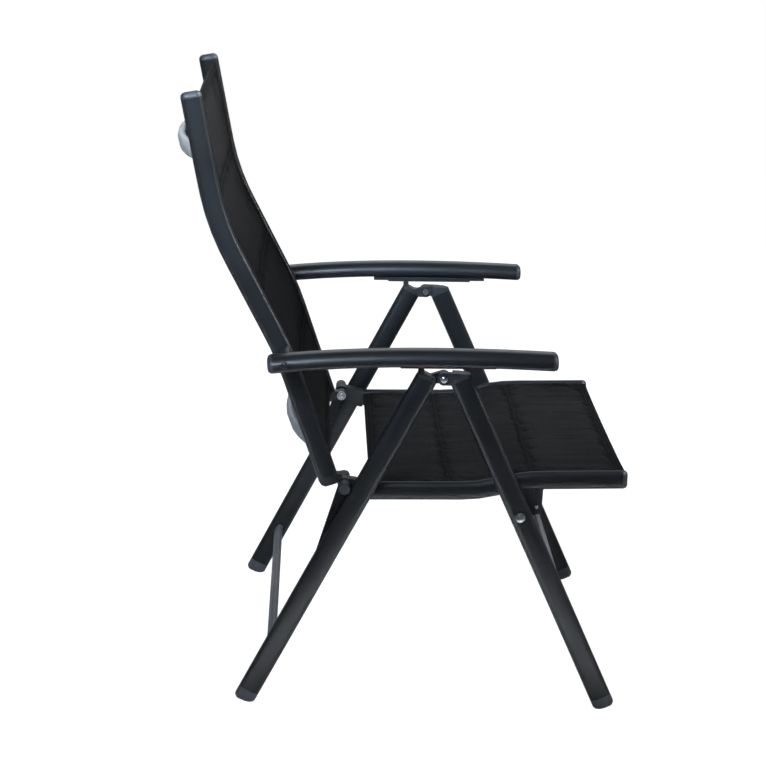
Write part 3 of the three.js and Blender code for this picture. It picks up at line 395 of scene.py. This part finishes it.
# Padded slings
class Sling:
    """Quilted cloth between two side tubes: a top and a bottom grid of points over reach and width.

    Sizes are in millimetres. Face is 1 where the sitter is on the side that the line's normal
    points to, as on the seat, and -1 where the sitter is on the other side, as on the back.
    """

    # Thickness at the side edges and its swell mid field, height over the tube line, sag mid width
    edge, swell, lift, sag = 4.0, 9.0, 9.0, 3.0
    # Hem length and thickness, half the width of a sewn line and its thickness
    hem, hem_thick, seam_half, seam_thick = 11.0, 4.2, 1.6, 2.6
    # Rise of the sitter's face towards the side edges, and the thickness at the very edge
    rim, rim_thick = 5.0, 3.0
    # Reach over which painted shade darkens the cloth beside a sewn line, on the seat and on the
    # back
    seat_shade, back_shade = 9.0, 14.0
    step = 4.6

    def __init__(self, name, side, start, end, half, seams, face):
        self.name, self.side, self.half, self.face = name, side, half, face
        cuts = [start + self.hem, *(start + (end - start) * s for s in seams), end - self.hem]
        self.seams = np.array(cuts)
        rows = list(np.linspace(start, cuts[0] - self.seam_half, 4))
        kinds = ["hem"] * len(rows)
        for a, b in zip(cuts, cuts[1:]):
            low, high = a + self.seam_half, b - self.seam_half
            rows.append(a)
            kinds.append("seam")
            count = max(6, round((high - low) / self.step))
            inner = low + (high - low) * np.arange(count + 1) / count
            rows += list(inner)
            kinds += ["seam", *["field"] * (count - 1), "seam"]
        rows.append(cuts[-1])
        kinds.append("seam")
        last = np.linspace(cuts[-1] + self.seam_half, end, 4)
        rows += list(last)
        kinds += ["hem"] * len(last)
        self.rows, self.kinds = np.array(rows), kinds
        columns = round(2 * half / self.step)
        bunched = -np.cos(math.pi * np.arange(columns + 1) / columns)
        self.columns = half * bunched * 0.25 + half * np.linspace(-1, 1, columns + 1) * 0.75
        self.build()

    def puff(self, reach):
        """Share of full swell at a reach: 0 on a seam and 1 mid field."""
        for a, b in zip(self.seams, self.seams[1:]):
            if a <= reach <= b:
                share = (reach - a) / (b - a)
                return math.sqrt(max(0.0, math.sin(math.pi * share)))
        return 0.0

    def build(self):
        top, under, uv = [], [], []
        for reach, kind in zip(self.rows, self.kinds):
            p, _, up = self.side.at(reach)
            for y in self.columns:
                share = y / self.half
                mid = self.face * (self.lift - self.sag * (1 - share ** 2))
                if kind == "hem":
                    thick = self.hem_thick
                elif kind == "seam":
                    thick = self.seam_thick
                else:
                    swell = self.swell * 0.8 * (1 - abs(share) ** 6) * self.puff(reach)
                    thick = self.edge * 0.7 + swell
                if abs(share) > 0.999:
                    thick = min(thick, self.rim_thick)
                full = self.rim * abs(share) ** 10 * (0.45 + 0.55 * self.puff(reach))
                for out, rise in ((top, thick / 2 + full), (under, -thick / 2)):
                    q = p + up * (mid + self.face * rise)
                    out.append((q[0] * mm, y * mm, q[1] * mm))
                uv.append((y * mm, reach * mm))
        wide, high = len(self.columns), len(self.rows)
        n = len(top)
        self.wide, self.count = wide, n
        faces = []
        for i in range(high - 1):
            for j in range(wide - 1):
                a = i * wide + j
                faces.append((a, a + 1, a + wide + 1, a + wide))
                faces.append((n + a, n + a + wide, n + a + wide + 1, n + a + 1))
            left, right = i * wide, i * wide + wide - 1
            faces.append((left, left + wide, n + left + wide, n + left))
            faces.append((right + wide, right, n + right, n + right + wide))
        for j in range(wide - 1):
            e = (high - 1) * wide + j
            faces.append((j + 1, j, n + j, n + j + 1))
            faces.append((e, e + 1, n + e + 1, n + e))
        if self.face < 0:
            faces = [f[::-1] for f in faces]
        self.points, self.faces, self.uv = np.array(top + under), faces, uv + uv

    def pins(self):
        """Points that stay: side edges, hems and sewn lines."""
        hold = np.zeros(2 * self.count)
        for i, kind in enumerate(self.kinds):
            row = slice(i * self.wide, (i + 1) * self.wide)
            back = slice(self.count + i * self.wide, self.count + (i + 1) * self.wide)
            if kind != "field":
                hold[row] = hold[back] = 1
        grid = np.arange(2 * self.count) % self.wide
        hold[(grid == 0) | (grid == self.wide - 1)] = 1
        return hold

    def inflate(self, cap=6.0, frames=20):
        """Cloth simulation with inner pressure; sewn lines and edges stay pinned.

        No point ends up further than the cap, in millimetres, from where it began.
        """
        mesh = bpy.data.meshes.new("swelling")
        mesh.from_pydata([tuple(p) for p in self.points], [], self.faces)
        obj = bpy.data.objects.new("swelling", mesh)
        bpy.context.scene.collection.objects.link(obj)
        group = obj.vertex_groups.new(name="pin")
        hold = self.pins()
        group.add([int(i) for i in np.nonzero(hold)[0]], 1.0, "REPLACE")
        made = obj.modifiers.new("cloth", "CLOTH")
        s = made.settings
        s.quality, s.mass, s.air_damping = 5, 0.25, 4
        s.tension_stiffness = s.compression_stiffness = 8
        s.shear_stiffness, s.bending_stiffness = 4, 0.35
        s.tension_damping = s.compression_damping = s.shear_damping = 10
        s.vertex_group_mass = "pin"
        s.shrink_min = -0.035
        s.use_pressure, s.uniform_pressure_force = True, 4
        s.effector_weights.gravity = 0
        made.collision_settings.use_collision = False
        made.point_cache.frame_start, made.point_cache.frame_end = 1, frames
        scene = bpy.context.scene
        for f in range(1, frames + 1):
            scene.frame_set(f)
        graph = bpy.context.evaluated_depsgraph_get()
        done = obj.evaluated_get(graph).to_mesh()
        co = np.zeros(len(done.vertices) * 3)
        done.vertices.foreach_get("co", co)
        obj.evaluated_get(graph).to_mesh_clear()
        moved = co.reshape(-1, 3) - self.points
        size = np.linalg.norm(moved, axis=1)
        limit = cap * mm
        still = 1e-9
        held = limit * np.tanh(size / limit) / np.maximum(size, still)
        keep = np.where(size > still, held, 1)
        self.points = self.points + moved * keep[:, None]
        scene.frame_set(1)
        bpy.data.objects.remove(obj)
        bpy.data.meshes.remove(mesh)

    def object(self, body, node, look):
        """The finished cloth, with its flat coordinates and its nearness to a sewn line, which the
        cloth look turns into painted shade.
        """
        obj = mesh_object(self.name, self.points, self.faces, None, look)
        # Nearness to a sewn line, stored for the painted shade in the seam creases
        low = obj.data.attributes.new("painted_seam_shade", "FLOAT", "POINT")
        apart = np.min(np.abs(self.rows[:, None] - self.seams[None]), axis=1)
        shade = self.seat_shade if self.face > 0 else self.back_shade
        depth = np.repeat(np.exp(-(apart / shade) ** 2), self.wide)
        low.data.foreach_set("value", np.concatenate([depth, depth]).astype(np.float32))
        uv = obj.data.uv_layers.new(name="Cloth")
        for loop in obj.data.loops:
            uv.data[loop.index].uv = self.uv[loop.vertex_index]
        made = obj.modifiers.new("round", "SUBSURF")
        made.levels = made.render_levels = 1
        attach(obj, body)
        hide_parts(node)

    def stitches(self, name, body, look, pitch=4.2, stitch=0.72, margin=4):
        """Short thread lengths along every sewn line, above and below."""
        along = np.array((0, 1, 0))
        points, faces = [], []
        for reach in self.seams:
            i = int(np.argmin(np.abs(self.rows - reach)))
            for base, out in ((0, self.face), (self.count, -self.face)):
                line = self.points[base + i * self.wide:base + (i + 1) * self.wide]
                _, _, up = self.side.at(reach)
                normal = np.array((up[0], 0, up[1])) * out
                third = np.cross(along, normal)
                for y in np.arange(-self.half + margin, self.half - margin, pitch) * mm:
                    ends = []
                    for yy in (y, y + pitch * stitch * mm):
                        ends.append(np.array([np.interp(yy, line[:, 1], line[:, 0]), yy,
                                              np.interp(yy, line[:, 1], line[:, 2])]))
                    self.thread(points, faces, ends, normal, third)
        obj = mesh_object(name, points, faces, body, look)

    def thread(self, points, faces, ends, normal, third, radius=0.38, sides=5):
        """One stitch: a thin arched rod between two ends."""
        first = len(points)
        shares = (0, 0.25, 0.75, 1)
        for t in shares:
            arch = math.sin(math.pi * t)
            c = ends[0] + (ends[1] - ends[0]) * t + normal * (0.15 + 0.3 * arch) * mm
            r = radius * (0.35 if t in (0, 1) else 1.0) * mm
            for k in range(sides):
                a = 2 * math.pi * k / sides
                points.append(c + normal * r * math.cos(a) + third * r * math.sin(a))
        for s in range(len(shares) - 1):
            for k in range(sides):
                a, b = first + s * sides + k, first + s * sides + (k + 1) % sides
                faces.append((a, b, b + sides, a + sides))
        faces.append(tuple(first + k for k in range(sides))[::-1])
        faces.append(tuple(first + (len(shares) - 1) * sides + k for k in range(sides)))


slings = [
    (Sling("seat_pad", seat_side, 1, 443, 227.6, (0.31, 0.64), 1),
     "seat_frame", "seat_sling"),
    (Sling("back_pad", back_side, 8, 682, 202.1, (0.243, 0.5, 0.755), -1),
     "back_frame", "back_sling"),
]
for sling, body, node in slings:
    sling.inflate()
    sling.object(body, node, cloth_top)
    sling.stitches(sling.name + "_stitches", body, thread)


# Small fasteners
def lathe(name, centre, stations, side, body, look, segments=32, recess=None):
    """Piece turned about a lateral axis at (x, z) from (radius, y) stations, in millimetres."""
    points, faces, rings = [], [], []
    for r, y in stations:
        ring = []
        for k in range(segments if r > 0 else 1):
            a = 2 * math.pi * k / segments
            ring.append(len(points))
            points.append(((centre[0] + r * math.cos(a)) * mm, side * y * mm,
                           (centre[1] + r * math.sin(a)) * mm))
        rings.append(ring)
    for a, b in zip(rings, rings[1:]):
        for k in range(segments):
            after = (k + 1) % segments
            if len(a) == 1:
                faces.append((a[0], b[k], b[after]))
            elif len(b) == 1:
                faces.append((a[k], b[0], a[after]))
            else:
                faces.append((a[k], b[k], b[after], a[after]))
    obj = mesh_object(name, points, faces, None, look)
    bm = bmesh.new()
    bm.from_mesh(obj.data)
    bmesh.ops.recalc_face_normals(bm, faces=bm.faces)
    bm.to_mesh(obj.data)
    bm.free()
    if recess:
        carve(obj, recess(centre, side))
    made = obj.modifiers.new("smooth", "NODES")
    made.node_group = plates
    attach(obj, body)


def carve(obj, tool):
    """Cuts the tool out of a piece and removes the tool."""
    cut = obj.modifiers.new("recess", "BOOLEAN")
    cut.object, cut.solver, cut.operation = tool, "EXACT", "DIFFERENCE"
    graph = bpy.context.evaluated_depsgraph_get()
    mesh = bpy.data.meshes.new_from_object(obj.evaluated_get(graph))
    obj.modifiers.remove(cut)
    old = obj.data
    obj.data = mesh
    mesh.name = old.name
    bpy.data.meshes.remove(old)
    tool_mesh = tool.data
    bpy.data.objects.remove(tool)
    bpy.data.meshes.remove(tool_mesh)


def cross_recess(y, depth, arm, width, over=1):
    """Cross-shaped driver recess from a lateral station inwards; the tool stands over the face."""
    def make(centre, side):
        tool = bmesh.new()
        across = side * (y - depth / 2 + over)
        place = Matrix.Translation((centre[0] * mm, across * mm, centre[1] * mm))
        size = Matrix.Diagonal((2 * arm * mm, (depth + 2 * over) * mm, width * mm, 1))
        for turn in (math.pi / 4, 3 * math.pi / 4):
            block = bmesh.ops.create_cube(tool, size=1)["verts"]
            bmesh.ops.transform(tool, verts=block,
                                matrix=place @ Matrix.Rotation(turn, 4, "Y") @ size)
        mesh = bpy.data.meshes.new("tool")
        tool.to_mesh(mesh)
        tool.free()
        obj = bpy.data.objects.new("tool", mesh)
        bpy.context.scene.collection.objects.link(obj)
        cutter_union(obj)
        return obj
    return make


def cutter_union(obj):
    """Joins the crossed blocks of a recess tool into one closed skin."""
    made = obj.modifiers.new("weld", "REMESH")
    made.mode, made.voxel_size = "VOXEL", 0.00018
    graph = bpy.context.evaluated_depsgraph_get()
    mesh = bpy.data.meshes.new_from_object(obj.evaluated_get(graph))
    obj.modifiers.clear()
    obj.data = mesh


rivets = (("front", (95.0, 598.5), "front_frame"), ("rear", (30.5, 599.5), "rear_frame"))
rivet_turning = [(0, 270.9), (3.3, 270.9), (3.3, 271.75), (2.9, 272.1), (1.9, 272.1),
                 (1.6, 271.8), (0, 271.7)]
screw_turning = [(0, 243.9), (3.4, 243.9), (3.4, 245.4), (2.6, 246.6), (0, 247.1)]

for label, side in sides.items():
    for end, centre, body in rivets:
        lathe(f"{end}_plug_rivet_{label}", centre, rivet_turning, side, body, paint)
    lathe(f"bracket_screw_{label}", (235.9, 377.0), screw_turning, side, "seat_frame",
          bright_steel, recess=cross_recess(247.1, 1.4, 2.0, 0.9))


# Studio: pale floor, white surround, soft lamps
floor_reach = 60
floor_glow = 1.36
floor_glow_share = 0.72
surround_light = 0.1


def lamp(name, place, target, size, power, colour, degrees=180):
    """Rectangular lamp; its light leaves within a cone of so many degrees."""
    data = bpy.data.lights.new(name, "AREA")
    data.shape, data.size, data.size_y = "RECTANGLE", *size
    data.energy, data.color, data.spread = power, colour, math.radians(degrees)
    obj = bpy.data.objects.new(name, data)
    obj.location = place
    aim = Vector(target) - Vector(place)
    obj.rotation_euler = aim.to_track_quat("-Z", "Y").to_euler()
    bpy.context.scene.collection.objects.link(obj)


def make_floor():
    """Matt floor; part of what the camera sees of it is its own glow, so that it stays pale."""
    mesh = bpy.data.meshes.new("floor")
    signs = ((-1, -1), (1, -1), (1, 1), (-1, 1))
    corners = [(x * floor_reach, y * floor_reach, 0) for x, y in signs]
    mesh.from_pydata(corners, [], [(0, 1, 2, 3)])
    floor = bpy.data.objects.new("floor", mesh)
    bpy.context.scene.collection.objects.link(floor)
    material = bpy.data.materials.new("floor")
    material.use_nodes = True
    tree = material.node_tree
    shader = tree.nodes["Principled BSDF"]
    shader.inputs["Base Color"].default_value = (0.85, 0.85, 0.85, 1)
    shader.inputs["Roughness"].default_value = 0.9
    shader.inputs["Specular IOR Level"].default_value = 0.1
    glow = tree.nodes.new("ShaderNodeEmission")
    glow.inputs["Strength"].default_value = floor_glow
    path = tree.nodes.new("ShaderNodeLightPath")
    seen = tree.nodes.new("ShaderNodeMath")
    seen.operation = "MULTIPLY"
    seen.inputs[1].default_value = floor_glow_share
    tree.links.new(path.outputs["Is Camera Ray"], seen.inputs[0])
    mix = tree.nodes.new("ShaderNodeMixShader")
    tree.links.new(seen.outputs[0], mix.inputs[0])
    tree.links.new(shader.outputs[0], mix.inputs[1])
    tree.links.new(glow.outputs[0], mix.inputs[2])
    tree.links.new(mix.outputs[0], tree.nodes["Material Output"].inputs["Surface"])
    mesh.materials.append(material)


def make_surround():
    """White where the camera looks straight at it, and a dim light on the chair."""
    world = bpy.data.worlds.new("studio")
    bpy.context.scene.world = world
    world.use_nodes = True
    tree = world.node_tree
    back = tree.nodes["Background"]
    back.inputs["Color"].default_value = (1, 1, 1, 1)
    path = tree.nodes.new("ShaderNodeLightPath")
    shown = tree.nodes.new("ShaderNodeMath")
    shown.operation = "MAXIMUM"
    tree.links.new(path.outputs["Is Camera Ray"], shown.inputs[0])
    tree.links.new(path.outputs["Is Transmission Ray"], shown.inputs[1])
    strength = tree.nodes.new("ShaderNodeMapRange")
    strength.inputs["To Min"].default_value = surround_light
    strength.inputs["To Max"].default_value = 1.0
    tree.links.new(shown.outputs[0], strength.inputs["Value"])
    tree.links.new(strength.outputs[0], back.inputs["Strength"])


make_floor()
make_surround()
lamp("key", (-0.8, -1.4, 1.85), (-0.35, -0.2, 1.0), (0.7, 0.7), 5.6, (0.74, 0.85, 1), 44)
lamp("high", (-0.7, -1.9, 1.7), (-0.15, -0.25, 0.95), (0.6, 0.4), 1.4, (0.6, 0.8, 1), 20)
lamp("top", (1.7, -0.1, 2.1), (0.3, 0, 0.43), (0.5, 0.5), 1.7, (0.9, 0.94, 1), 13)
lamp("rim", (0, 2.6, 1.75), (0, 0, 0.6), (3.2, 1.5), 24, (0.88, 0.94, 1))
lamp("pool", (0.15, -0.54, 2.2), (0.15, -0.54, 0), (2.4, 0.2), 7.5, (0.88, 0.93, 1), 12)
lamp("back", (1.2, -0.2, 2.4), (-0.44, 0, 1.0), (0.4, 0.4), 2.8, (0.95, 0.97, 1), 15)
lamp("fill", (2.4, -0.6, 1.6), (-0.25, -0.25, 0.75), (0.9, 0.9), 1.1, (0.85, 0.93, 1), 15)
